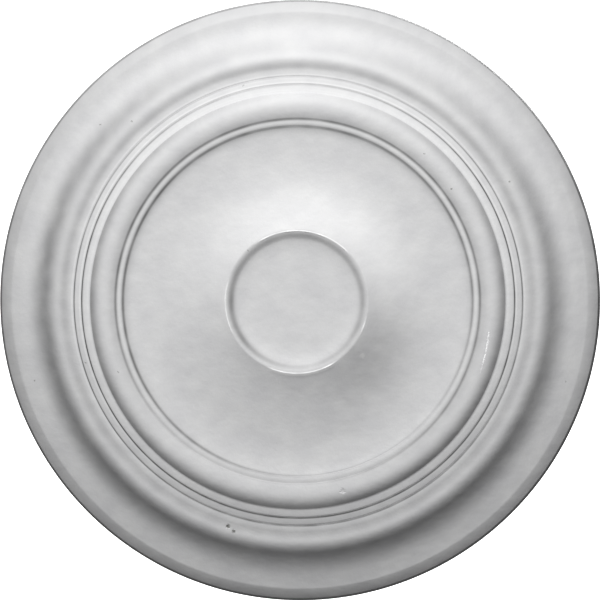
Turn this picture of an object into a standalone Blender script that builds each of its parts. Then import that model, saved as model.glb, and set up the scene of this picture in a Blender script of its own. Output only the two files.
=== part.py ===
"""A moulded ceiling rose: one round casting with a flat back, stepped mouldings and a raised lip round its seat.

The rose is turned about its own axis and stands upright: its flat back is in the plane y = 0 and faces +Y, and
its moulded face looks along -Y. Heights below are measured from the back towards the face.
"""

import math

import bpy

# Overall size, in metres
OUTSIDE_DIAMETER = 0.619
PROJECTION = 0.0635

# Drafted edge with a rounded top, and the bevel above it
EDGE_FOOT = 0.0005
EDGE_HEIGHT = 0.0045
EDGE_DRAFT = 0.0021
EDGE_ROUND = 0.0005
BEVEL_WIDTH = 0.0095
BEVEL_RISE = 0.0069

# Wide cove and the shoulder that rounds it over
COVE_WIDTH = 0.0377
COVE_RISE = 0.0186
COVE_FOOT_SLOPE = 0.24
STEEPEST_SLOPE = 1.0
SHOULDER_WIDTH = 0.0131
SHOULDER_RISE = 0.0072
SHOULDER_TOP_SLOPE = 0.12

# Almost level ledge behind the shoulder
LEDGE_WIDTH = 0.0086
LEDGE_RISE = 0.0005
LEDGE_END_SLOPE = 0.14

# Three sloping bands, parted by fine grooves
OUTER_BAND_WIDTH = 0.0078
OUTER_BAND_RISE = 0.0014
MIDDLE_BAND_WIDTH = 0.0081
MIDDLE_BAND_RISE = 0.0024
INNER_BAND_WIDTH = 0.0086
INNER_BAND_RISE = 0.0023
GROOVE_WIDTH = 0.0020
GROOVE_DEPTH = 0.0008

# Torus, with a steep outer side and a soft inner side
TORUS_OUTER_WIDTH = 0.0188
TORUS_OUTER_RISE = 0.0072
TORUS_FOOT_SLOPE = 1.0
TORUS_INNER_WIDTH = 0.0071
TORUS_INNER_FALL = 0.0005
TORUS_INNER_SLOPE = 0.15

# Thin bead between two grooved steps
STEP_WIDTH = 0.0018
STEP_FALL = 0.00025
STEP_GROOVE_DEPTH = 0.0002
BEAD_WIDTH = 0.0057
BEAD_FALL = 0.00015
BEAD_INNER_SLOPE = 0.20
BEAD_OUTER_SLOPE = -0.12

# Bell-shaped field, lowest a little way in from the bead
DIP_WIDTH = 0.0110
DIP_DEPTH = 0.0006
DIP_END_SLOPE = 0.15
BELL_TOP_SLOPE = 0.34

# Rolled lip, and the wall and flare that run down to the seat
LIP_DIAMETER = 0.1462
LIP_ROLL_WIDTH = 0.0014
LIP_ROLL_FALL = 0.00025
LIP_WALL_WIDTH = 0.0050
LIP_WALL_DEPTH = 0.0013
LIP_WALL_SLOPE = 0.45
FLARE_WIDTH = 0.0047
FLARE_DEPTH = 0.0018
FLARE_SLOPE = 0.20
SEAT_DIAMETER = 0.0780
SEAT_DEPTH = 0.0044

# White factory primer
PRIMER_COLOUR = (0.82, 0.82, 0.82, 1)
PRIMER_ROUGHNESS = 0.55

# Fineness of the mesh
TURN_STEPS = 84
MERGE_DISTANCE = 0.0001
CREASE_ANGLE = math.radians(24)

# Radii, worked inwards from the outside edge
OUTSIDE_RADIUS = OUTSIDE_DIAMETER / 2
EDGE_TOP_RADIUS = OUTSIDE_RADIUS - EDGE_DRAFT
BEVEL_TOP_RADIUS = EDGE_TOP_RADIUS - BEVEL_WIDTH
STEEPEST_RADIUS = BEVEL_TOP_RADIUS - COVE_WIDTH
SHOULDER_RADIUS = STEEPEST_RADIUS - SHOULDER_WIDTH
BANDS_OUTER_RADIUS = SHOULDER_RADIUS - LEDGE_WIDTH
OUTER_GROOVE_RADIUS = BANDS_OUTER_RADIUS - OUTER_BAND_WIDTH
INNER_GROOVE_RADIUS = OUTER_GROOVE_RADIUS - MIDDLE_BAND_WIDTH
BANDS_INNER_RADIUS = INNER_GROOVE_RADIUS - INNER_BAND_WIDTH
TORUS_RADIUS = BANDS_INNER_RADIUS - TORUS_OUTER_WIDTH
TORUS_END_RADIUS = TORUS_RADIUS - TORUS_INNER_WIDTH
BEAD_OUTER_RADIUS = TORUS_END_RADIUS - STEP_WIDTH
BEAD_INNER_RADIUS = BEAD_OUTER_RADIUS - BEAD_WIDTH
FIELD_RADIUS = BEAD_INNER_RADIUS - STEP_WIDTH
DIP_RADIUS = FIELD_RADIUS - DIP_WIDTH

# Radii of the lip and the seat, worked from the lip's crest
LIP_RADIUS = LIP_DIAMETER / 2
LIP_OUTER_RADIUS = LIP_RADIUS + LIP_ROLL_WIDTH
LIP_WALL_RADIUS = LIP_RADIUS - LIP_WALL_WIDTH
FLARE_RADIUS = LIP_WALL_RADIUS - FLARE_WIDTH
SEAT_RADIUS = SEAT_DIAMETER / 2

# Heights, worked inwards from the edge
BEVEL_TOP_HEIGHT = EDGE_HEIGHT + BEVEL_RISE
STEEPEST_HEIGHT = BEVEL_TOP_HEIGHT + COVE_RISE
SHOULDER_HEIGHT = STEEPEST_HEIGHT + SHOULDER_RISE
BANDS_OUTER_HEIGHT = SHOULDER_HEIGHT + LEDGE_RISE
OUTER_GROOVE_HEIGHT = BANDS_OUTER_HEIGHT + OUTER_BAND_RISE
INNER_GROOVE_HEIGHT = OUTER_GROOVE_HEIGHT + MIDDLE_BAND_RISE
BANDS_INNER_HEIGHT = INNER_GROOVE_HEIGHT + INNER_BAND_RISE
TORUS_HEIGHT = BANDS_INNER_HEIGHT + TORUS_OUTER_RISE
TORUS_END_HEIGHT = TORUS_HEIGHT - TORUS_INNER_FALL
BEAD_OUTER_HEIGHT = TORUS_END_HEIGHT - STEP_FALL
BEAD_INNER_HEIGHT = BEAD_OUTER_HEIGHT - BEAD_FALL
FIELD_HEIGHT = BEAD_INNER_HEIGHT - STEP_FALL
DIP_HEIGHT = FIELD_HEIGHT - DIP_DEPTH

# Heights of the lip and the seat, worked down from the crest
LIP_OUTER_HEIGHT = PROJECTION - LIP_ROLL_FALL
LIP_WALL_HEIGHT = PROJECTION - LIP_WALL_DEPTH
FLARE_HEIGHT = LIP_WALL_HEIGHT - FLARE_DEPTH
SEAT_HEIGHT = PROJECTION - SEAT_DEPTH


def clear_scene():
    for item in list(bpy.data.objects):
        bpy.data.objects.remove(item, do_unlink=True)


def sweep(start, end, start_slope, end_slope, steps):
    """Points after start, up to end, on a cubic curve with the given slope at each end."""
    (start_radius, start_height), (end_radius, end_height) = start, end
    run = end_radius - start_radius
    points = []
    for step in range(1, steps + 1):
        t = step / steps
        leave = t * (1 - t) ** 2 * run * start_slope
        arrive = t * t * (t - 1) * run * end_slope
        blend = t * t * (3 - 2 * t)
        height = start_height + blend * (end_height - start_height) + leave + arrive
        points.append((start_radius + t * run, height))
    return points


def along(start, end, run):
    """Point on the line from start towards end, the given run in radius away from start."""
    share = run / abs(end[0] - start[0])
    return (start[0] + share * (end[0] - start[0]), start[1] + share * (end[1] - start[1]))


def groove(inner, outer, depth):
    """Bottom and outer side of a V groove cut below the line from inner to outer."""
    bottom = ((inner[0] + outer[0]) / 2, (inner[1] + outer[1]) / 2 - depth)
    return [bottom, outer]


def recess_points():
    """Flat seat, the flare around it, the lip's inner wall and its rolled crest."""
    seat = (SEAT_RADIUS, SEAT_HEIGHT)
    flare = (FLARE_RADIUS, FLARE_HEIGHT)
    wall = (LIP_WALL_RADIUS, LIP_WALL_HEIGHT)
    crest = (LIP_RADIUS, PROJECTION)
    points = [(0, SEAT_HEIGHT), seat]
    points += sweep(seat, flare, 0, FLARE_SLOPE, 4)
    points += sweep(flare, wall, FLARE_SLOPE, LIP_WALL_SLOPE, 2)
    points += sweep(wall, crest, LIP_WALL_SLOPE, 0, 3)
    points += [(LIP_OUTER_RADIUS, LIP_OUTER_HEIGHT)]
    return points


def field_points():
    """Bell-shaped fall from the lip to the dip, then the short rise to the bead."""
    lip_side = (LIP_OUTER_RADIUS, LIP_OUTER_HEIGHT)
    dip = (DIP_RADIUS, DIP_HEIGHT)
    field_end = (FIELD_RADIUS, FIELD_HEIGHT)
    points = sweep(lip_side, dip, -BELL_TOP_SLOPE, 0, 8)
    points += sweep(dip, field_end, 0, DIP_END_SLOPE, 2)
    return points


def bead_points():
    """Thin bead, and the grooved step on each side of it."""
    field_end = (FIELD_RADIUS, FIELD_HEIGHT)
    inner = (BEAD_INNER_RADIUS, BEAD_INNER_HEIGHT)
    outer = (BEAD_OUTER_RADIUS, BEAD_OUTER_HEIGHT)
    torus_end = (TORUS_END_RADIUS, TORUS_END_HEIGHT)
    points = groove(field_end, inner, STEP_GROOVE_DEPTH)
    points += sweep(inner, outer, BEAD_INNER_SLOPE, BEAD_OUTER_SLOPE, 2)
    points += groove(outer, torus_end, STEP_GROOVE_DEPTH)
    return points


def torus_points():
    """Soft inner side up to the crest, then the outer side down to the first band."""
    torus_end = (TORUS_END_RADIUS, TORUS_END_HEIGHT)
    crest = (TORUS_RADIUS, TORUS_HEIGHT)
    foot = (BANDS_INNER_RADIUS, BANDS_INNER_HEIGHT)
    points = sweep(torus_end, crest, TORUS_INNER_SLOPE, 0, 3)
    points += sweep(crest, foot, 0, -TORUS_FOOT_SLOPE, 6)
    return points


def band_points():
    """Bands that slope down outwards, each set off from the next by a fine groove."""
    points = []
    inner = (BANDS_INNER_RADIUS, BANDS_INNER_HEIGHT)
    inner_groove = (INNER_GROOVE_RADIUS, INNER_GROOVE_HEIGHT)
    outer_groove = (OUTER_GROOVE_RADIUS, OUTER_GROOVE_HEIGHT)
    outer = (BANDS_OUTER_RADIUS, BANDS_OUTER_HEIGHT)
    for before, line, after in ((inner, inner_groove, outer_groove), (inner_groove, outer_groove, outer)):
        start = along(line, before, GROOVE_WIDTH / 2)
        points += [start] + groove(start, along(line, after, GROOVE_WIDTH / 2), GROOVE_DEPTH)
    return points + [outer]


def rim_points():
    """Ledge, shoulder, wide cove, bevel and the drafted edge, down to the back."""
    bands_outer = (BANDS_OUTER_RADIUS, BANDS_OUTER_HEIGHT)
    shoulder = (SHOULDER_RADIUS, SHOULDER_HEIGHT)
    steepest = (STEEPEST_RADIUS, STEEPEST_HEIGHT)
    bevel_top = (BEVEL_TOP_RADIUS, BEVEL_TOP_HEIGHT)
    edge_top = (EDGE_TOP_RADIUS, EDGE_HEIGHT)
    edge_foot = (OUTSIDE_RADIUS, EDGE_FOOT)
    points = sweep(bands_outer, shoulder, -LEDGE_END_SLOPE, -SHOULDER_TOP_SLOPE, 2)
    points += sweep(shoulder, steepest, -SHOULDER_TOP_SLOPE, -STEEPEST_SLOPE, 4)
    points += sweep(steepest, bevel_top, -STEEPEST_SLOPE, -COVE_FOOT_SLOPE, 6)
    points += [along(edge_top, bevel_top, EDGE_ROUND), along(edge_top, edge_foot, EDGE_ROUND / 2)]
    points += [edge_foot, (OUTSIDE_RADIUS, 0), (0, 0)]
    return points


def profile_points():
    return recess_points() + field_points() + bead_points() + torus_points() + band_points() + rim_points()


def primed_polyurethane():
    """White factory primer on a moulded polyurethane casting."""
    material = bpy.data.materials.new("primed_polyurethane")
    material.use_nodes = True
    shader = material.node_tree.nodes["Principled BSDF"]
    shader.inputs["Base Color"].default_value = PRIMER_COLOUR
    shader.inputs["Roughness"].default_value = PRIMER_ROUGHNESS
    shader.inputs["Metallic"].default_value = 0
    return material


def turned_mesh(name, points):
    """Mesh made by turning a profile, given as radius and height, about the Z axis."""
    profile = bpy.data.meshes.new(name + "_profile")
    edges = [(index, index + 1) for index in range(len(points) - 1)]
    profile.from_pydata([(radius, 0, height) for radius, height in points], edges, [])
    turned = bpy.data.objects.new(name + "_profile", profile)
    bpy.context.scene.collection.objects.link(turned)
    screw = turned.modifiers.new("Screw", "SCREW")
    screw.axis = "Z"
    screw.steps = TURN_STEPS
    screw.render_steps = TURN_STEPS
    screw.use_merge_vertices = True
    screw.merge_threshold = MERGE_DISTANCE
    evaluated = turned.evaluated_get(bpy.context.evaluated_depsgraph_get())
    mesh = bpy.data.meshes.new_from_object(evaluated)
    mesh.name = name
    bpy.data.objects.remove(turned, do_unlink=True)
    return mesh


def ceiling_rose(collection):
    mesh = turned_mesh("ceiling_rose", profile_points())
    mesh.shade_smooth()
    mesh.set_sharp_from_angle(angle=CREASE_ANGLE)
    mesh.materials.clear()
    mesh.materials.append(primed_polyurethane())
    rose = bpy.data.objects.new("ceiling_rose", mesh)
    rose.rotation_euler = (math.pi / 2, 0, 0)
    collection.objects.link(rose)


def main():
    clear_scene()
    collection = bpy.data.collections.new("ceiling_rose")
    bpy.context.scene.collection.children.link(collection)
    ceiling_rose(collection)


main()
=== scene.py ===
# %% [markdown]
# # A moulded ceiling rose
# The object is a round ceiling rose, the plain ornament that sits round a hanging light. The real one is
# cast in one piece from rigid polyurethane foam and comes with a white primer coat. Its looks are nearly
# all form: fine rings that catch or lose a raking light. So most of this script is spent on the turned
# profile, and the rest on the primer, the painted shade in the creases, the painted highlights on the edges
# and the small flaws of a casting.

# %% Load the frame
import math

import bmesh
import bpy
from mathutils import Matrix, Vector, noise


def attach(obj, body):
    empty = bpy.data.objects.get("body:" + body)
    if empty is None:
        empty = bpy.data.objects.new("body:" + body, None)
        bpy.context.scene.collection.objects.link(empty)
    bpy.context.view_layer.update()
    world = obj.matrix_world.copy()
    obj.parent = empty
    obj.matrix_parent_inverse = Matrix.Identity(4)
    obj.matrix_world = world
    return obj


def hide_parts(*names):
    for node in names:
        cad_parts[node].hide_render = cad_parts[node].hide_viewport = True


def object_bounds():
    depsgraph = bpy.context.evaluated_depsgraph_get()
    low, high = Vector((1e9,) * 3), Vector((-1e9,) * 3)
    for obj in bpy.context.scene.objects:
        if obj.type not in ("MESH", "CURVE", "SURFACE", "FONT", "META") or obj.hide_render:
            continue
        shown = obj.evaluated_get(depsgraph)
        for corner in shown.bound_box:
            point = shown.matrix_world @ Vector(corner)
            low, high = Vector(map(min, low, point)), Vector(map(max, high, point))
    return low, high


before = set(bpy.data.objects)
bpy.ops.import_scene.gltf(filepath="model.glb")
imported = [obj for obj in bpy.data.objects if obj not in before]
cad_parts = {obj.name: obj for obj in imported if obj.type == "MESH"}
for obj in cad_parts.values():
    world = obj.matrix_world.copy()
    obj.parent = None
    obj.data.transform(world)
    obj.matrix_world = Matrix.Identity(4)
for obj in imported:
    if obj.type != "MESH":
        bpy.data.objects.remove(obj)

scene = bpy.context.scene
MM = 0.001
CAD_BOX = [list(corner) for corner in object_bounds()]
print("CAD box, in metres:", CAD_BOX)

# %% [markdown]
# ## Camera
# The photograph is taken from far away with a long lens, almost square on to the face. Each ring's centre
# drifts a little to the left and down as its height grows, so the camera stands about three degrees to the
# right and one above. The rings stay true circles, which a close camera would have turned into ovals.

# %% Camera
DISTANCE = 12.0
AZIMUTH = math.radians(2.9)
ELEVATION = math.radians(1.1)
SENSOR = 36.0
VIEW_WIDTH = 0.6182
AIM = Vector((0.00025, 0.0, 0.0001))
FAR_CLIP = 50.0

camera = bpy.data.objects.new("camera", bpy.data.cameras.new("camera"))
scene.collection.objects.link(camera)
towards_camera = Vector((
    math.sin(AZIMUTH) * math.cos(ELEVATION),
    -math.cos(AZIMUTH) * math.cos(ELEVATION),
    math.sin(ELEVATION),
))
camera.location = AIM + towards_camera * DISTANCE
camera.rotation_euler = (-towards_camera).to_track_quat("-Z", "Y").to_euler()
camera.data.sensor_width = SENSOR
camera.data.lens = SENSOR * DISTANCE / VIEW_WIDTH
camera.data.clip_end = FAR_CLIP
scene.camera = camera
print("lens, in mm:", round(camera.data.lens, 1))

# %% [markdown]
# ## Light
# One broad soft light hangs above and in front, so that every slope facing up turns bright and every slope
# facing down falls dark. A sun lamp with a wide angle gives the same rake on every ring, where a near area
# lamp would fade from top to bottom. A faint lamp behind keeps the back readable. A small lamp to the right
# is too weak to shade anything, and shows only where the primer is rubbed to a gloss.

# %% Lamps
KEY_STRENGTH = 1.885
KEY_SPREAD = math.radians(35)
KEY_TOWARDS = Vector((-0.09, -0.72, 0.69))
GLINT_STRENGTH = 0.08
GLINT_SPREAD = math.radians(12)
GLINT_TOWARDS = Vector((0.197, -0.974, -0.091))
BACK_STRENGTH = 1.4
BACK_SPREAD = math.radians(20)
BACK_TOWARDS = Vector((0.25, 0.85, 0.45))


def sun(name, towards, strength, spread):
    """Adds a sun lamp that shines from the given direction."""
    lamp = bpy.data.lights.new(name, "SUN")
    lamp.energy = strength
    lamp.angle = spread
    item = bpy.data.objects.new(name, lamp)
    item.rotation_euler = towards.to_track_quat("Z", "Y").to_euler()
    scene.collection.objects.link(item)
    return item


sun("key_light", KEY_TOWARDS, KEY_STRENGTH, KEY_SPREAD)
sun("glint_light", GLINT_TOWARDS, GLINT_STRENGTH, GLINT_SPREAD)
sun("back_light", BACK_TOWARDS, BACK_STRENGTH, BACK_SPREAD)

# %% [markdown]
# ## Sky and tone
# The rose is pictured on a white page. Only the camera sees that white sky, and a much weaker even one
# fills the shadows, because a full white sky would flatten the rings. White mouldings are printed with a
# steep tone curve so that their shallow relief shows, hence the contrast look.

# %% Sky and tone
WHITE_HEX = "FFFFFF"
PAGE_STRENGTH = 1.0
SKY_FILL = 0.117


def linear(hex_colour):
    """Turns an sRGB hex colour into linear red, green, blue and alpha."""
    channels = [int(hex_colour[i:i + 2], 16) / 255 for i in (0, 2, 4)]
    return tuple(c / 12.92 if c <= 0.04045 else ((c + 0.055) / 1.055) ** 2.4 for c in channels) + (1.0,)


def add_node(tree, kind, inputs=None, **settings):
    """Adds one node with its settings. Each input takes a value, or a link from another node's output."""
    node = tree.nodes.new(kind)
    for key, value in settings.items():
        setattr(node, key, value)
    for key, value in (inputs or {}).items():
        if isinstance(value, bpy.types.NodeSocket):
            tree.links.new(value, node.inputs[key])
        else:
            node.inputs[key].default_value = value
    return node


world = bpy.data.worlds.new("studio")
scene.world = world
world.use_nodes = True
sky = world.node_tree
sky.nodes.clear()
rays = add_node(sky, "ShaderNodeLightPath")
fill = add_node(sky, "ShaderNodeBackground", {"Color": linear(WHITE_HEX), "Strength": SKY_FILL})
page = add_node(sky, "ShaderNodeBackground", {"Color": linear(WHITE_HEX), "Strength": PAGE_STRENGTH})
seen_or_lit = {0: rays.outputs["Is Camera Ray"], 1: fill.outputs[0], 2: page.outputs[0]}
choice = add_node(sky, "ShaderNodeMixShader", seen_or_lit)
add_node(sky, "ShaderNodeOutputWorld", {"Surface": choice.outputs[0]})
scene.view_settings.view_transform = "Standard"
scene.view_settings.look = "Very High Contrast"
print("sky nodes:", len(sky.nodes), "look:", scene.view_settings.look)

# %% [markdown]
# ## Floor
# The rose is hung and not stood, so the pale floor lies well below it. It stays out of the main view and
# throws no light back, because the dark lower slopes in the photograph show that nothing bright lay beneath
# them.

# %% Floor
FLOOR_SIZE = 6.0
FLOOR_GAP = 260 * MM
FLOOR_HEX = "F4F4F2"
FLOOR_ROUGHNESS = 0.9

bpy.ops.mesh.primitive_plane_add(size=FLOOR_SIZE, location=(0, 0, CAD_BOX[0][2] - FLOOR_GAP))
floor = bpy.context.object
floor.name = "floor"
floor_paint = bpy.data.materials.new("matt_white_paper")
floor_paint.use_nodes = True
floor_shader = floor_paint.node_tree.nodes["Principled BSDF"]
floor_shader.inputs["Base Color"].default_value = linear(FLOOR_HEX)
floor_shader.inputs["Roughness"].default_value = FLOOR_ROUGHNESS
floor.data.materials.append(floor_paint)
floor.visible_diffuse = False
floor.visible_glossy = False
print("floor height, in mm:", round(floor.location.z / MM, 1))

# %% [markdown]
# ## The profile
# A rose like this starts as a plaster master that a template sweeps round a centre pin, so the true way to
# model it is the same: one outline, turned. Each curve below is a short formula between named sizes, from
# the middle out to the rim. A list of points traced by eye would look uneven under a raking light.

# %% Curves for the profile
GROOVE_SHAPE = (  # shares of the width across, and of the depth down
    (0.10, 0.18), (0.24, 0.55), (0.38, 0.88), (0.5, 1.0),
    (0.62, 0.88), (0.76, 0.55), (0.90, 0.18), (1.0, 0.0),
)


def sweep(start, end, start_slope, end_slope, steps):
    """Points after start, up to end, on a cubic curve with the given slope at each end."""
    (start_radius, start_height), (end_radius, end_height) = start, end
    run = end_radius - start_radius
    points = []
    for step in range(1, steps + 1):
        t = step / steps
        leave = t * (1 - t) ** 2 * run * start_slope
        arrive = t * t * (t - 1) * run * end_slope
        blend = t * t * (3 - 2 * t)
        height = start_height + blend * (end_height - start_height) + leave + arrive
        points.append((start_radius + t * run, height))
    return points


def groove(inner, outer, depth):
    """Points after inner, up to outer, of a fine groove with steep walls and a rounded bottom."""
    width, rise = outer[0] - inner[0], outer[1] - inner[1]
    return [
        (inner[0] + width * across, inner[1] + rise * across - depth * down)
        for across, down in GROOVE_SHAPE
    ]


print("points across a groove:", len(GROOVE_SHAPE))

# %% [markdown]
# ### Rim
# The outside edge is a steep face, drafted so that the casting leaves its mould, with a bevel above it.
# Inside the bevel a wide cove climbs ever more steeply and rounds over into an almost level ledge. Cubic
# curves that share their slopes give that line without a kink.

# %% Rim
OUTSIDE_RADIUS = 309.5 * MM
EDGE_FOOT = 0.5 * MM
EDGE_HEIGHT = 4.5 * MM
EDGE_DRAFT = 2.1 * MM
EDGE_ROUND = 0.5 * MM
BEVEL_WIDTH = 9.5 * MM
BEVEL_RISE = 6.9 * MM
COVE_WIDTH = 37.7 * MM
COVE_RISE = 18.6 * MM
COVE_FOOT_SLOPE = 0.24
STEEPEST_SLOPE = 1.0
SHOULDER_WIDTH = 13.1 * MM
SHOULDER_RISE = 7.2 * MM
SHOULDER_TOP_SLOPE = 0.12
LEDGE_WIDTH = 8.6 * MM
LEDGE_RISE = 0.5 * MM
LEDGE_END_SLOPE = 0.14
LEDGE_STEPS = 8
SHOULDER_STEPS = 14
COVE_STEPS = 20
EDGE_STEPS = 3

edge_foot = (OUTSIDE_RADIUS, EDGE_FOOT)
edge_top = (OUTSIDE_RADIUS - EDGE_DRAFT, EDGE_HEIGHT)
bevel_top = (edge_top[0] - BEVEL_WIDTH, edge_top[1] + BEVEL_RISE)
steepest = (bevel_top[0] - COVE_WIDTH, bevel_top[1] + COVE_RISE)
shoulder = (steepest[0] - SHOULDER_WIDTH, steepest[1] + SHOULDER_RISE)
bands_outer = (shoulder[0] - LEDGE_WIDTH, shoulder[1] + LEDGE_RISE)


def along(start, end, run):
    """Point on the line from start towards end, the given run in radius away from start."""
    share = run / abs(end[0] - start[0])
    return (start[0] + share * (end[0] - start[0]), start[1] + share * (end[1] - start[1]))


def slope_between(start, end):
    """Rise over run of the straight line between two points."""
    return (end[1] - start[1]) / (end[0] - start[0])


bevel_end = along(edge_top, bevel_top, EDGE_ROUND)
edge_start = along(edge_top, edge_foot, EDGE_ROUND / 2)
bevel_slope = slope_between(bevel_top, edge_top)
edge_slope = slope_between(edge_top, edge_foot)
rim = sweep(bands_outer, shoulder, -LEDGE_END_SLOPE, -SHOULDER_TOP_SLOPE, LEDGE_STEPS)
rim += sweep(shoulder, steepest, -SHOULDER_TOP_SLOPE, -STEEPEST_SLOPE, SHOULDER_STEPS)
rim += sweep(steepest, bevel_top, -STEEPEST_SLOPE, -COVE_FOOT_SLOPE, COVE_STEPS)
rim += [bevel_end]
rim += sweep(bevel_end, edge_start, bevel_slope, edge_slope, EDGE_STEPS)
rim += [edge_foot, (OUTSIDE_RADIUS, 0)]
print("shoulder, in mm:", [round(value / MM, 2) for value in shoulder])

# %% [markdown]
# ### Bands
# Inside the ledge lie three narrow bands that step up towards the middle, parted by two fine grooves. Each
# band is very slightly full, so that a groove's lip catches the light as the real cast edge does.

# %% Bands
OUTER_BAND_WIDTH = 7.8 * MM
OUTER_BAND_RISE = 1.4 * MM
MIDDLE_BAND_WIDTH = 8.1 * MM
MIDDLE_BAND_RISE = 2.4 * MM
INNER_BAND_WIDTH = 8.6 * MM
INNER_BAND_RISE = 2.3 * MM
BAND_FULLNESS = 0.15
GROOVE_WIDTH = 2.0 * MM
GROOVE_DEPTH = 0.3 * MM
BAND_STEPS = 6

outer_groove = (bands_outer[0] - OUTER_BAND_WIDTH, bands_outer[1] + OUTER_BAND_RISE)
inner_groove = (outer_groove[0] - MIDDLE_BAND_WIDTH, outer_groove[1] + MIDDLE_BAND_RISE)
bands_inner = (inner_groove[0] - INNER_BAND_WIDTH, inner_groove[1] + INNER_BAND_RISE)


def band(start, end):
    """Points after start, up to end, of one slightly full band."""
    slope = slope_between(start, end)
    return sweep(start, end, (1 - BAND_FULLNESS) * slope, (1 + BAND_FULLNESS) * slope, BAND_STEPS)


bands = []
start = bands_inner
for line, after in ((inner_groove, outer_groove), (outer_groove, bands_outer)):
    end = along(line, start, GROOVE_WIDTH / 2)
    bands += band(start, end)
    start = along(line, after, GROOVE_WIDTH / 2)
    bands += groove(end, start, GROOVE_DEPTH)
bands += band(start, bands_outer)
print("bands run from", round(bands_inner[0] / MM, 1), "to", round(bands_outer[0] / MM, 1), "mm")

# %% [markdown]
# ### Torus and bead
# The torus is the strongest ring: round and steep outside, soft inside. A thin bead follows, held between
# two grooved steps that make it read as a separate line.

# %% Torus and bead
TORUS_OUTER_WIDTH = 18.8 * MM
TORUS_OUTER_RISE = 7.2 * MM
TORUS_FOOT_SLOPE = 1.0
TORUS_INNER_WIDTH = 7.1 * MM
TORUS_INNER_FALL = 0.5 * MM
TORUS_INNER_SLOPE = 0.15
STEP_WIDTH = 1.8 * MM
STEP_FALL = 0.25 * MM
STEP_GROOVE_DEPTH = 0.1 * MM
BEAD_WIDTH = 5.7 * MM
BEAD_FALL = 0.15 * MM
BEAD_INNER_SLOPE = 0.2
BEAD_OUTER_SLOPE = -0.12
BEAD_STEPS = 6
TORUS_INNER_STEPS = 10
TORUS_OUTER_STEPS = 20

torus_crest = (bands_inner[0] - TORUS_OUTER_WIDTH, bands_inner[1] + TORUS_OUTER_RISE)
torus_end = (torus_crest[0] - TORUS_INNER_WIDTH, torus_crest[1] - TORUS_INNER_FALL)
bead_outer = (torus_end[0] - STEP_WIDTH, torus_end[1] - STEP_FALL)
bead_inner = (bead_outer[0] - BEAD_WIDTH, bead_outer[1] - BEAD_FALL)
field_end = (bead_inner[0] - STEP_WIDTH, bead_inner[1] - STEP_FALL)

bead = groove(field_end, bead_inner, STEP_GROOVE_DEPTH)
bead += sweep(bead_inner, bead_outer, BEAD_INNER_SLOPE, BEAD_OUTER_SLOPE, BEAD_STEPS)
bead += groove(bead_outer, torus_end, STEP_GROOVE_DEPTH)
torus = sweep(torus_end, torus_crest, TORUS_INNER_SLOPE, 0, TORUS_INNER_STEPS)
torus += sweep(torus_crest, bands_inner, 0, -TORUS_FOOT_SLOPE, TORUS_OUTER_STEPS)
print("torus crest, in mm:", [round(value / MM, 2) for value in torus_crest])

# %% [markdown]
# ### Field, lip and seat
# From the bead the broad field dips slightly, then rises to the middle like the mouth of a bell. It ends in
# a narrow lip, the highest point of the rose. Inside the lip a short wall and a shallow flare lead down to
# the flat seat, where the cover of the hanging light sits.

# %% Field, lip and seat
PROJECTION = 63.5 * MM
DIP_WIDTH = 11.0 * MM
DIP_DEPTH = 0.6 * MM
DIP_END_SLOPE = 0.15
LIP_RADIUS = 73.1 * MM
LIP_ROLL_WIDTH = 1.4 * MM
LIP_ROLL_FALL = 0.25 * MM
BELL_TOP_SLOPE = 0.34
LIP_WALL_WIDTH = 5.0 * MM
LIP_WALL_DEPTH = 1.3 * MM
LIP_WALL_SLOPE = 0.45
FLARE_WIDTH = 4.7 * MM
FLARE_DEPTH = 1.8 * MM
FLARE_SLOPE = 0.20
SEAT_RADIUS = 39.0 * MM
SEAT_DEPTH = 4.4 * MM
FLARE_STEPS = 12
LIP_FOOT_STEPS = 6
LIP_WALL_STEPS = 9
LIP_ROLL_STEPS = 4
BELL_STEPS = 34
DIP_STEPS = 7
SEAT_RINGS = (0.0, 0.15, 0.35, 0.6, 0.8, 1.0)
BACK_RINGS = (0.97, 0.8, 0.6, 0.4, 0.2, 0.0)

lip_crest = (LIP_RADIUS, PROJECTION)
lip_outer = (LIP_RADIUS + LIP_ROLL_WIDTH, PROJECTION - LIP_ROLL_FALL)
lip_wall = (LIP_RADIUS - LIP_WALL_WIDTH, PROJECTION - LIP_WALL_DEPTH)
flare = (lip_wall[0] - FLARE_WIDTH, lip_wall[1] - FLARE_DEPTH)
seat = (SEAT_RADIUS, PROJECTION - SEAT_DEPTH)
dip = (field_end[0] - DIP_WIDTH, field_end[1] - DIP_DEPTH)

middle = [(seat[0] * share, seat[1]) for share in SEAT_RINGS]
middle += sweep(seat, flare, 0, FLARE_SLOPE, FLARE_STEPS)
middle += sweep(flare, lip_wall, FLARE_SLOPE, LIP_WALL_SLOPE, LIP_FOOT_STEPS)
middle += sweep(lip_wall, lip_crest, LIP_WALL_SLOPE, 0, LIP_WALL_STEPS)
middle += sweep(lip_crest, lip_outer, 0, -BELL_TOP_SLOPE, LIP_ROLL_STEPS)
middle += sweep(lip_outer, dip, -BELL_TOP_SLOPE, 0, BELL_STEPS)
middle += sweep(dip, field_end, 0, DIP_END_SLOPE, DIP_STEPS)
back = [(OUTSIDE_RADIUS * share, 0.0) for share in BACK_RINGS]
profile = middle + bead + torus + bands + rim + back
print("profile points:", len(profile), "seat height, in mm:", round(seat[1] / MM, 1))
print("dip height, in mm:", round(dip[1] / MM, 1))

# %% [markdown]
# ## Turning the profile
# A Screw modifier turns the outline round the axis, as the template turns round its pin. Then the mesh is
# laid against the frame: heights on the outline run out of the face, which looks along -Y. 400 steps show
# no corner at the rim and keep the piece under 200,000 triangles.

# %% Turned casting
TURN_STEPS = 400
MERGE_REACH = 0.02 * MM

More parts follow.
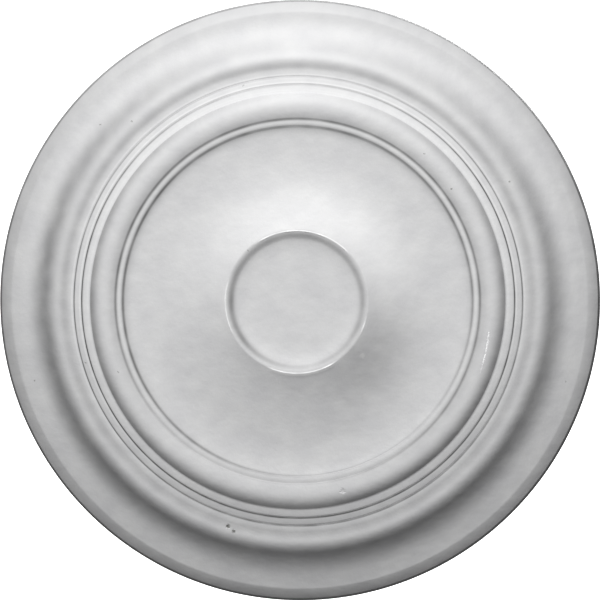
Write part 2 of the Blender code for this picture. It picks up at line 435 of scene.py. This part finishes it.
outline = bpy.data.meshes.new("outline")
outline.from_pydata(
    [(radius, 0, height) for radius, height in profile],
    [(index, index + 1) for index in range(len(profile) - 1)],
    [],
)
turned = bpy.data.objects.new("turned", outline)
scene.collection.objects.link(turned)
screw = turned.modifiers.new("Screw", "SCREW")
screw.steps = TURN_STEPS
screw.render_steps = TURN_STEPS
screw.use_merge_vertices = True
screw.merge_threshold = MERGE_REACH
evaluated = turned.evaluated_get(bpy.context.evaluated_depsgraph_get())
mesh = bpy.data.meshes.new_from_object(evaluated)
bpy.data.objects.remove(turned)
for vertex in mesh.vertices:
    x, y, z = vertex.co
    vertex.co = (x, -z, y)
mesh.update()
print("faces:", len(mesh.polygons))

# %% [markdown]
# ## Flaws of the casting
# A foam casting keeps small flaws: two open gas pits on the ledge at the lower left, a dent in the torus,
# and a thin uneven flash line along the crest of the lip, where the mould closed. They are shaped in the
# mesh, because a bump would not change how they meet the light. Each flaw below has its centre, its reach and
# its depth. The faces around it are split first, as the turned mesh alone is too coarse there. The flash line
# stands up along four arcs, in degrees anticlockwise from the right, and fades out at their ends.

# %% Pits, dent and flash line
PITS = (
    (Vector((-71.9, -232.2)) * MM, 1.7 * MM, 0.8 * MM),
    (Vector((-66.3, -236.8)) * MM, 0.9 * MM, 0.5 * MM),
)
DENT = (Vector((46.8, -195.1)) * MM, 2.2 * MM, 0.5 * MM)
CUT_REACH = 3
CUT_MARGIN = 1.0 * MM
FLAW_CUTS = 5
FLAW_GRAIN = 1.2 * MM
FLAW_RAGGEDNESS = 0.7
FLAW_STEEPNESS = 4
FLAW_END = 2.5
FACE_DEPTH = 10 * MM
FLASH_HEIGHT = 0.55 * MM
FLASH_WIDTH = 0.6 * MM
FLASH_RADIUS = LIP_RADIUS + 0.1 * MM
FLASH_DROP = 1.1 * MM
FLASH_GRAIN = 9 * MM
FLASH_ARCS = ((40, 128), (162, 208), (244, 307), (331, 348))
FLASH_FADE = 8
FLASH_EVEN = 0.75
FLASH_UNEVEN = 0.5
FLASH_END = 2
SHARP_ANGLE = math.radians(40)


def flat(place):
    """A place's x and z, as seen on the face."""
    return Vector((place.x, place.z))


def off_flash(place):
    """How far a place lies outside the flash line, a ring that sits a little low on the crest."""
    return (flat(place) + Vector((0, FLASH_DROP))).length - FLASH_RADIUS


def flash_share(place):
    """How far the flash line stands up at this place round the lip, from 0 to about 1."""
    angle = math.degrees(math.atan2(place.z, place.x)) % 360
    inside = max(min(angle - first, last - angle) for first, last in FLASH_ARCS)
    broken = FLASH_EVEN + FLASH_UNEVEN * noise.noise(flat(place).to_3d() / FLASH_GRAIN)
    return max(0.0, min(1.0, inside / FLASH_FADE)) * broken


def near_flaw(middle, centre, reach):
    """Whether a face with this middle lies close enough to a flaw to be split."""
    return middle.y < -FACE_DEPTH and (flat(middle) - centre).length < CUT_REACH * reach + CUT_MARGIN


form = bmesh.new()
form.from_mesh(mesh)
for centre, reach, depth in (*PITS, DENT):
    near = [face for face in form.faces if near_flaw(face.calc_center_median(), centre, reach)]
    edges = list({edge for face in near for edge in face.edges})
    bmesh.ops.subdivide_edges(form, edges=edges, cuts=FLAW_CUTS, use_grid_fill=True)
    for vertex in form.verts:
        across = (flat(vertex.co) - centre).length / reach
        if across < FLAW_END and vertex.co.y < -FACE_DEPTH:
            uneven = 1 + FLAW_RAGGEDNESS * noise.noise(vertex.co / FLAW_GRAIN)
            vertex.co.y += depth * math.exp(-(across * uneven) ** FLAW_STEEPNESS)
for vertex in form.verts:
    off = off_flash(vertex.co) / FLASH_WIDTH
    if abs(off) < FLASH_END:
        vertex.co.y -= FLASH_HEIGHT * math.exp(-off * off) * flash_share(vertex.co)
form.to_mesh(mesh)
form.free()
mesh.update()
rose = bpy.data.objects.new("primed_casting", mesh)
scene.collection.objects.link(rose)
mesh.shade_smooth()
mesh.set_sharp_from_angle(angle=SHARP_ANGLE)
print("faces with the flaws:", len(mesh.polygons), "depth, in mm:", round(rose.dimensions.y / MM, 2))

# %% [markdown]
# ## Painted shade in the creases
# Grooves, valleys, the rim edge, the foot of the torus and the inside of the lip get painted shade, a grey
# line where shade falls in a crease. The steepest slopes of the cove and bevel are painted darker at the
# left and right. Painting it by hand would not follow the rings, so the painted shade is placed by a rule:
# every crease has its radius from the profile above, a reach and a strength. More painted shade darkens the
# lower right of the bell, the lower half of the field and the lower left of the bevel.

# %% Painted shade in creases and on sides
# Painted shade: each entry is a ring darkened where shade falls, with its radius, reach and strength.
GROOVE_SHADE = (
    (inner_groove[0], 0.6 * MM, 1.0),
    (outer_groove[0], 0.6 * MM, 0.72),
)
BEAD_INNER_SHADE = (
    (bead_inner[0] - STEP_WIDTH / 2, 1.4 * MM, 0.44),
    (bead_inner[0] - STEP_WIDTH, 5.0 * MM, 0.12),
)
BEAD_OUTER_SHADE = (
    (torus_end[0] - STEP_WIDTH / 2, 1.4 * MM, 0.42),
    (torus_end[0] + 1.5 * MM, 5.5 * MM, 0.16),
)
SIDE_SLOPE_SHADE = (
    (steepest[0] + 2.0 * MM, 11.0 * MM, 0.27),
    (bevel_top[0] + 4.0 * MM, 5.0 * MM, 0.10),
)
TORUS_FOOT_SHADE = ((bands_inner[0], 7.0 * MM, 0.42),)
BELL_RADIUS = 98 * MM
BELL_SHADE = ((BELL_RADIUS, 28 * MM, 0.22),)
FIELD_RADIUS = 135 * MM
FIELD_SHADE = ((FIELD_RADIUS, 26 * MM, 0.08),)
BEVEL_SHADE = (((bevel_top[0] + edge_top[0]) / 2, 5.0 * MM, 0.14),)
VALLEY_SHADE = (
    (bands_outer[0] + 2.4 * MM, 5.0 * MM, 0.23),
    (bevel_top[0] - 5.0 * MM, 9.0 * MM, 0.10),
)
LIP_CREASE_SHADE = ((lip_wall[0] - 0.6 * MM, 3.4 * MM, 0.30),)
RIM_SHADE = ((OUTSIDE_RADIUS - EDGE_DRAFT / 2, 1.2 * MM, 0.75),)
UP = Vector((0, 1))
DOWN = Vector((0, -1))
LEFT = Vector((-1, 0))
LEFT_AND_DOWN = Vector((-0.92, -0.38))
LEFT_AND_UP = Vector((-0.92, 0.38))
RIGHT_AND_UP = Vector((0.85, 0.53))


def crease_sum(creases, radius):
    """Sum of bell curves, each with its own radius, reach and strength."""
    return sum(strength * math.exp(-((radius - crease) / reach) ** 2) for crease, reach, strength in creases)


def side_share(place, towards):
    """How far a place lies on one side of the face: 1 towards that side, 0 across from it."""
    return max(0.0, flat(place).normalized().dot(towards))


print("painted shade in the inner groove:", round(crease_sum(GROOVE_SHADE, inner_groove[0]), 2))

# %% [markdown]
# ### Where the painted shade is stronger or weaker
# No ring holds the same painted shade all round. The painted shade in the fine lines is shifted a little,
# so its rings sit slightly low and to the right. The band grooves get the least at the top, and the bead's
# two lines at the bottom, where they almost vanish. Noise breaks the whole up, and the sum is kept as a
# value on the mesh, for the material to read.

# %% Painted shade values
SHADE_SHIFT = Vector((-0.3, 0.55)) * MM
GROOVE_SHADE_FADES_TOWARDS = Vector((-0.1, 0.995))
GROOVE_SHADE_FADE = 0.7
BEAD_INNER_SHADE_FADES_TOWARDS = Vector((0.5, -0.87))
BEAD_OUTER_SHADE_FADES_TOWARDS = Vector((-0.34, -0.94))
BEAD_SHADE_FADE = 0.7
BEAD_SHADE_GAIN = 0.25
SIDE_SLOPE_SHADE_GAIN = 0.5
BELL_SHADE_TOWARDS = Vector((0.8, -0.6))
BELL_SHADE_FOCUS = 6
TORUS_FOOT_SHADE_GAP = 0.1 * MM
RIM_SHADE_FADE_BELOW = 1.3
RIM_SHADE_FADE_ABOVE = 0.3
RIM_SHADE_GAIN = 0.35
LIP_SHADE_FADE = 0.6
LIP_SHADE_GAIN = 0.55
SHADE_FROM = 0.4 * MM
PATCH_SIZE = 14 * MM
PATCHINESS = 0.25


def shade_in_lines(place):
    """Painted shade in the band grooves and in the two lines beside the bead."""
    shifted_radius = (flat(place) + SHADE_SHIFT).length
    at_grooves = 1 - GROOVE_SHADE_FADE * side_share(place, GROOVE_SHADE_FADES_TOWARDS) ** 2
    at_bead = 1 + BEAD_SHADE_GAIN * side_share(place, LEFT_AND_UP) ** 2
    at_inner = at_bead - BEAD_SHADE_FADE * side_share(place, BEAD_INNER_SHADE_FADES_TOWARDS) ** 2
    at_outer = at_bead - BEAD_SHADE_FADE * side_share(place, BEAD_OUTER_SHADE_FADES_TOWARDS) ** 2
    total = crease_sum(GROOVE_SHADE, shifted_radius) * at_grooves
    total += crease_sum(BEAD_INNER_SHADE, shifted_radius) * at_inner
    total += crease_sum(BEAD_OUTER_SHADE, shifted_radius) * at_outer
    return total


def shade_on_slopes(place):
    """Painted shade in the valleys, on the steep left and right sides, at the torus foot, and over the lower
    bell, field and bevel.
    """
    radius = flat(place).length
    at_side = abs(place.x) / max(radius, MM)
    total = crease_sum(VALLEY_SHADE, radius)
    total += crease_sum(SIDE_SLOPE_SHADE, radius) * at_side * (1 + SIDE_SLOPE_SHADE_GAIN * side_share(place, LEFT))
    total += crease_sum(BELL_SHADE, radius) * side_share(place, BELL_SHADE_TOWARDS) ** BELL_SHADE_FOCUS
    total += crease_sum(FIELD_SHADE, radius) * side_share(place, DOWN)
    total += crease_sum(BEVEL_SHADE, radius) * side_share(place, LEFT_AND_DOWN)
    if radius < bands_inner[0] - TORUS_FOOT_SHADE_GAP:
        total += crease_sum(TORUS_FOOT_SHADE, radius) * at_side
    return total


def shade_at_edges(place):
    """Painted shade along the rim and inside the lip."""
    radius = flat(place).length
    at_rim = 1 - RIM_SHADE_FADE_BELOW * side_share(place, DOWN) - RIM_SHADE_FADE_ABOVE * side_share(place, UP)
    at_rim += RIM_SHADE_GAIN * side_share(place, RIGHT_AND_UP) ** 2
    at_lip = 1 - LIP_SHADE_FADE * side_share(place, UP) + LIP_SHADE_GAIN * side_share(place, LEFT_AND_DOWN) ** 2
    return crease_sum(RIM_SHADE, radius) * max(0.0, at_rim) + crease_sum(LIP_CREASE_SHADE, radius) * at_lip


def painted_shade_at(place):
    """Share of painted shade at this place, from 0 to 1. The back and the foot of the edge have none."""
    if place.y > -SHADE_FROM:
        return 0.0
    # The sum of all painted shade: crease lines, darker sides and lower areas, rim and lip.
    total = shade_in_lines(place) + shade_on_slopes(place) + shade_at_edges(place)
    return min(1.0, total * (1 + PATCHINESS * noise.noise(place / PATCH_SIZE)))


def add_value(name, rule):
    """Keeps a rule's value at every vertex, for the material to read."""
    layer = mesh.attributes.new(name, "FLOAT", "POINT")
    layer.data.foreach_set("value", [rule(vertex.co) for vertex in mesh.vertices])
    return max(item.value for item in layer.data)


print("most painted shade:", round(add_value("painted_shade", painted_shade_at), 2))

# %% [markdown]
# ## Painted highlights
# The opposite of the painted shade: the sharp arrises beside the grooves and the bead get a painted
# highlight, a lighter colour where they catch the light, fading out towards the bottom. The flash line on
# the crest is polished as well and carries the brightest painted highlight, and the bell is painted lighter
# at the top and the upper right, where it faces the light.

# %% Painted highlight values
# Painted highlight: rings made lighter where the arrises catch the light.
ARRIS_HIGHLIGHTS = (
    (bands_inner[0] + 1.9 * MM, 1.1 * MM, 0.15),
    (bands_inner[0] + 3.6 * MM, 3.2 * MM, 0.15),
    (inner_groove[0] + 1.9 * MM, 0.8 * MM, 0.34),
    (outer_groove[0] + 1.9 * MM, 0.8 * MM, 0.23),
    ((bead_inner[0] + bead_outer[0]) / 2, 2.2 * MM, 0.27),
)
BELL_HIGHLIGHT = ((BELL_RADIUS, 26 * MM, 0.26),)
BELL_HIGHLIGHT_TOWARDS = Vector((0.8, 0.6))
BELL_HIGHLIGHT_FOCUS = 4
BELL_BOTH_SIDES = 1.4
POLISH_WIDTH = 0.9 * MM
HIGHLIGHT_AND_POLISH_FROM = 1.0 * MM


def polish_and_highlight_at(place):
    """Share of polish along the flash line on the lip's crest, which also sets its painted highlight."""
    if place.y > -HIGHLIGHT_AND_POLISH_FROM:
        return 0.0
    return min(1.0, math.exp(-(off_flash(place) / POLISH_WIDTH) ** 2) * flash_share(place))


def painted_highlight_at(place):
    """Share of painted highlight at this place, from 0 to 1."""
    if place.y > -HIGHLIGHT_AND_POLISH_FROM:
        return 0.0
    radius = flat(place).length
    arris_highlight = crease_sum(ARRIS_HIGHLIGHTS, radius) * (1 - side_share(place, DOWN))
    lit_side = side_share(place, BELL_HIGHLIGHT_TOWARDS) ** BELL_HIGHLIGHT_FOCUS + side_share(place, UP)
    bell_highlight = crease_sum(BELL_HIGHLIGHT, radius) * lit_side / BELL_BOTH_SIDES
    return min(1.0, arris_highlight + bell_highlight + polish_and_highlight_at(place))


print("most painted highlight:", round(add_value("painted_highlight", painted_highlight_at), 2))
print("most polish:", round(add_value("polish", polish_and_highlight_at), 2))

# %% [markdown]
# ## Primed polyurethane
# The foam is moulded with a dense skin and leaves the works with a sprayed white primer. One flat white
# would look like plastic, and a picture laid over the mesh would bring its own light with it. So the white
# drifts between two close shades, by noise in three sizes: a slow drift, soft clouds and a fine mottle of
# the spray.

# %% White of the primer
PRIMER_HEX = "E1E1E1"
PRIMER_SHADE_HEX = "D9D9DA"
DRIFT_SIZE = 60 * MM
DRIFT_DETAIL = 2.0
SOFT_DETAIL = 1.0
CLOUD_SIZE = 22 * MM
CLOUD_SPREAD = (-0.6, 0.9)
MOTTLE_SIZE = 2.2 * MM
MOTTLE_DETAIL = 3.0

primer = bpy.data.materials.new("primed_polyurethane")
primer.use_nodes = True
tree = primer.node_tree
shader = tree.nodes["Principled BSDF"]
place = add_node(tree, "ShaderNodeTexCoord").outputs["Object"]

drift_inputs = {"Vector": place, "Scale": 1 / DRIFT_SIZE, "Detail": DRIFT_DETAIL}
drift = add_node(tree, "ShaderNodeTexNoise", drift_inputs).outputs["Fac"]
cloud_inputs = {"Vector": place, "Scale": 1 / CLOUD_SIZE, "Detail": SOFT_DETAIL}
cloud = add_node(tree, "ShaderNodeTexNoise", cloud_inputs).outputs["Fac"]
mottle_inputs = {"Vector": place, "Scale": 1 / MOTTLE_SIZE, "Detail": MOTTLE_DETAIL}
mottle = add_node(tree, "ShaderNodeTexNoise", mottle_inputs).outputs["Fac"]

cloud_range = {"Value": cloud, "To Min": CLOUD_SPREAD[0], "To Max": CLOUD_SPREAD[1]}
clouds = add_node(tree, "ShaderNodeMapRange", cloud_range).outputs[0]
both = add_node(tree, "ShaderNodeMath", {0: drift, 1: mottle}, operation="ADD").outputs[0]
halved = add_node(tree, "ShaderNodeMath", {0: both, 1: 2.0}, operation="DIVIDE").outputs[0]
shade_share = add_node(tree, "ShaderNodeMath", {0: halved, 1: clouds}, operation="ADD").outputs[0]
white_inputs = {0: shade_share, 6: linear(PRIMER_HEX), 7: linear(PRIMER_SHADE_HEX)}
white = add_node(tree, "ShaderNodeMix", white_inputs, data_type="RGBA").outputs[2]
print("primer, linear:", [round(value, 3) for value in linear(PRIMER_HEX)[:3]])

# %% [markdown]
# ### Marks on the primer
# The painted shade and the painted highlights come from the values on the mesh. Specks, smudges and the
# painted shade in the pits are single spots at named places on the face. Each is a distance from its
# centre, and noise shifts the place first, so that no spot is a neat disc. Every mark is one more colour
# laid over the last by its share.

# %% Marks on the primer
# The first grey is the colour of the painted shade, and the last white that of the painted highlights.
PAINTED_SHADE_HEX = "5F5F5F"
SMUDGE_HEX = "D2D2D2"
SPECK_HEX = "B3B3B2"
# The next grey is painted shade, laid into the hollows of the two gas pits.
PIT_SHADE_HEX = "969694"
PAINTED_HIGHLIGHT_HEX = "FFFFFF"
SMUDGES = ((67.4, -55.6), (46.8, -70.0))
SMUDGE_SIZE = 3.5 * MM
SPECKS = (
    (-184.5, -72.9), (-272.9, -83.1), (-218.0, -63.9), (-171.1, 184.4), (-204.2, 180.9), (-56.3, 220.9),
    (-50.3, 51.9), (130.5, 151.2), (158.1, 115.4), (217.3, 122.5), (274.8, -83.1),
)
SPECK_SIZE = 1.0 * MM
PIT_SHADE_SPOTS = [centre / MM for centre, reach, depth in PITS]
PIT_SHADE_SIZE = 2.3 * MM
SPOT_CORE = 0.5
RAGGED_SIZE = 1.6 * MM
RAGGED_REACH = (4.5 * MM, 0, 4.5 * MM)
NOISE_MIDDLE = (0.5, 0.5, 0.5)
FLATTENED = (1, 0, 1)

side, out, up = add_node(tree, "ShaderNodeSeparateXYZ", {0: place}).outputs
on_front = add_node(tree, "ShaderNodeMath", {0: out, 1: -FACE_DEPTH}, operation="LESS_THAN").outputs[0]
on_face = add_node(tree, "ShaderNodeVectorMath", {0: place, 1: FLATTENED}, operation="MULTIPLY").outputs[0]
wobble = add_node(tree, "ShaderNodeTexNoise", {"Vector": place, "Scale": 1 / RAGGED_SIZE}).outputs["Color"]
shift = add_node(tree, "ShaderNodeVectorMath", {0: wobble, 1: NOISE_MIDDLE}, operation="SUBTRACT").outputs[0]
ragged_inputs = {0: shift, 1: RAGGED_REACH, 2: on_face}
ragged = add_node(tree, "ShaderNodeVectorMath", ragged_inputs, operation="MULTIPLY_ADD").outputs[0]


def spots(places, size):
    """Small ragged spots on the face, from 0 to 1."""
    total = 0.0
    for x, z in places:
        centre = (x * MM, 0, z * MM)
        away = add_node(tree, "ShaderNodeVectorMath", {0: ragged, 1: centre}, operation="DISTANCE")
        fade = {"Value": away.outputs["Value"], "From Min": SPOT_CORE * size, "From Max": size,
                "To Min": 1.0, "To Max": 0.0}
        spot = add_node(tree, "ShaderNodeMapRange", fade).outputs[0]
        total = add_node(tree, "ShaderNodeMath", {0: spot, 1: total}, operation="ADD").outputs[0]
    return add_node(tree, "ShaderNodeMath", {0: total, 1: on_front}, operation="MULTIPLY").outputs[0]


marks = (
    # Painted shade in the creases, on the sides and over the lower areas.
    (add_node(tree, "ShaderNodeAttribute", attribute_name="painted_shade").outputs["Fac"], PAINTED_SHADE_HEX),
    (spots(SMUDGES, SMUDGE_SIZE), SMUDGE_HEX),
    (spots(SPECKS, SPECK_SIZE), SPECK_HEX),
    # Painted shade in the pits.
    (spots(PIT_SHADE_SPOTS, PIT_SHADE_SIZE), PIT_SHADE_HEX),
    # Painted highlight on the arrises, the lip's crest and the bell.
    (add_node(tree, "ShaderNodeAttribute", attribute_name="painted_highlight").outputs["Fac"], PAINTED_HIGHLIGHT_HEX),
)
colour = white
for share, over_hex in marks:
    over_inputs = {0: share, 6: colour, 7: linear(over_hex)}
    colour = add_node(tree, "ShaderNodeMix", over_inputs, data_type="RGBA").outputs[2]
tree.links.new(colour, shader.inputs["Base Color"])
print("single spots:", len(SMUDGES) + len(SPECKS) + len(PIT_SHADE_SPOTS))

# %% [markdown]
# ### Shine of the primer
# Dry primer is satin: its shine is broad and weak, and a little uneven. Two places shine more. The flash
# line on the lip was polished by wiping. A short streak on the right of the torus was rubbed to a gloss,
# and catches the small lamp as a broken white line. A rub has no height of its own, so it is drawn in the
# roughness alone, as an arc whose radius grows along its length.

# %% Shine of the primer
PRIMER_IOR = 1.5
PRIMER_ROUGHNESS = (0.52, 0.62)
GLOSS_ROUGHNESS = 0.08
PRIMER_SPECULAR = 0.5
GLOSS_SPECULAR = 1.0
CREST_GLOSS = 0.4
STREAK_RADIUS = 199.3 * MM
STREAK_RADIUS_GAIN = 2.0 * MM
STREAK_START = math.radians(-9.0)
STREAK_ARC = math.radians(-12.3)
STREAK_WIDTH = 1.2 * MM
STREAK_BREAKS = 4 * MM
STREAK_GAPS = 0.38


def gloss_streak():
    """Share of gloss along the streak, from 0 to 1."""
    radius = add_node(tree, "ShaderNodeVectorMath", {0: on_face}, operation="LENGTH").outputs["Value"]
    angle = add_node(tree, "ShaderNodeMath", {0: up, 1: side}, operation="ARCTAN2").outputs[0]
    arc = {"Value": angle, "From Min": STREAK_START, "From Max": STREAK_START + STREAK_ARC,
           "To Min": STREAK_RADIUS, "To Max": STREAK_RADIUS + STREAK_RADIUS_GAIN}
    line = add_node(tree, "ShaderNodeMapRange", arc).outputs[0]
    across = {0: radius, 1: line, 2: STREAK_WIDTH / 2}
    along_arc = {0: angle, 1: STREAK_START + STREAK_ARC / 2, 2: abs(STREAK_ARC) / 2}
    breaks = {"Vector": place, "Scale": 1 / STREAK_BREAKS, "Detail": SOFT_DETAIL}
    scuffs = add_node(tree, "ShaderNodeTexNoise", breaks).outputs["Fac"]
    total = on_front
    tests = (
        (across, "COMPARE"),
        (along_arc, "COMPARE"),
        ({0: scuffs, 1: STREAK_GAPS}, "GREATER_THAN"),
    )
    for inputs, test in tests:
        inside = add_node(tree, "ShaderNodeMath", inputs, operation=test).outputs[0]
        total = add_node(tree, "ShaderNodeMath", {0: total, 1: inside}, operation="MULTIPLY").outputs[0]
    return total


polish = add_node(tree, "ShaderNodeAttribute", attribute_name="polish").outputs["Fac"]
crest = add_node(tree, "ShaderNodeMath", {0: polish, 1: CREST_GLOSS}, operation="MULTIPLY").outputs[0]
gloss = add_node(tree, "ShaderNodeMath", {0: gloss_streak(), 1: crest}, operation="MAXIMUM").outputs[0]

satin_range = {"Value": drift, "To Min": PRIMER_ROUGHNESS[0], "To Max": PRIMER_ROUGHNESS[1]}
satin = add_node(tree, "ShaderNodeMapRange", satin_range).outputs[0]
smoother = {0: gloss, 1: GLOSS_ROUGHNESS - PRIMER_ROUGHNESS[0], 2: satin}
roughness = add_node(tree, "ShaderNodeMath", smoother, operation="MULTIPLY_ADD").outputs[0]
tree.links.new(roughness, shader.inputs["Roughness"])
specular_range = {"Value": gloss, "To Min": PRIMER_SPECULAR, "To Max": GLOSS_SPECULAR}
specular = add_node(tree, "ShaderNodeMapRange", specular_range).outputs[0]
tree.links.new(specular, shader.inputs["Specular IOR Level"])
shader.inputs["IOR"].default_value = PRIMER_IOR
print("streak length, in mm:", round(abs(STREAK_ARC) * STREAK_RADIUS / MM, 1))

# %% [markdown]
# ### Grain of the primer
# The grain would need many millions of faces, so it is a bump of three noises, each with a size and a
# height: the spray mist, the orange peel of the coat and the slow waves of a foam skin. Real mist is finer
# than a pixel, so it is drawn as coarse as it needs to show. Polished places are smooth.

# %% Grain of the primer
MIST = (1.4 * MM, 0.045 * MM)
ORANGE_PEEL = (5 * MM, 0.13 * MM)
SKIN_WAVES = (16 * MM, 0.40 * MM)

relief = 0.0
for size, height in (MIST, ORANGE_PEEL, SKIN_WAVES):
    grain_inputs = {"Vector": place, "Scale": 1 / size, "Detail": SOFT_DETAIL}
    grain = add_node(tree, "ShaderNodeTexNoise", grain_inputs).outputs["Fac"]
    raised = {0: grain, 1: height, 2: relief}
    relief = add_node(tree, "ShaderNodeMath", raised, operation="MULTIPLY_ADD").outputs[0]
unpolished = add_node(tree, "ShaderNodeMath", {0: 1.0, 1: gloss}, operation="SUBTRACT").outputs[0]
bump = add_node(tree, "ShaderNodeBump", {"Distance": 1.0, "Height": relief, "Strength": unpolished})
tree.links.new(bump.outputs[0], shader.inputs["Normal"])
mesh.materials.clear()
mesh.materials.append(primer)
print("primer nodes:", len(tree.nodes))

# %% [markdown]
# ## Hand over
# The casting rides on the one body of the rose and stands for the plain solid.

# %% Hand over
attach(rose, "root")
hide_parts("ceiling_rose")
